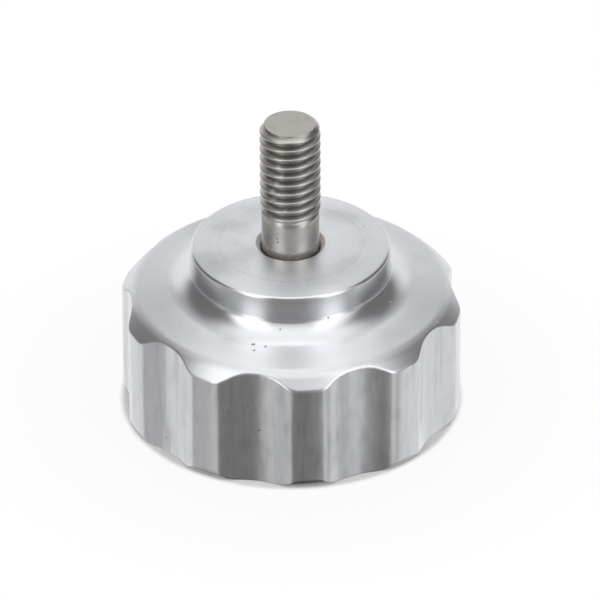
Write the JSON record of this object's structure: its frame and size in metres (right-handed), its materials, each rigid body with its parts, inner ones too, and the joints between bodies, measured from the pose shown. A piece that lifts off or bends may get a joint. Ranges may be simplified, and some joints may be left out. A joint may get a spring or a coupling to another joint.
{
  "type": "fluted knob with threaded stud",
  "caption": "Turned aluminium clamping knob with a fluted round grip, a sloping shoulder and a raised boss, with a steel threaded stud standing out of the boss.",
  "frame": {"origin": "centre of the flat grip face that the knob stands on", "axes": "+Z along the stud, from the grip face to the stud's free end; a lobe of the grip points along -Y"},
  "size_m": [0.0526, 0.054, 0.0504],
  "materials": {
    "turned_aluminium": "turned and buffed to a satin shine, with fine rings on the boss face and a few small pits",
    "stud_steel": "plain rolled steel, slightly warm grey, with darker thread roots"
  },
  "bodies": {
    "root": {"knob_body": "turned_aluminium", "threaded_stud": "stud_steel"}
  },
  "joints": []
}
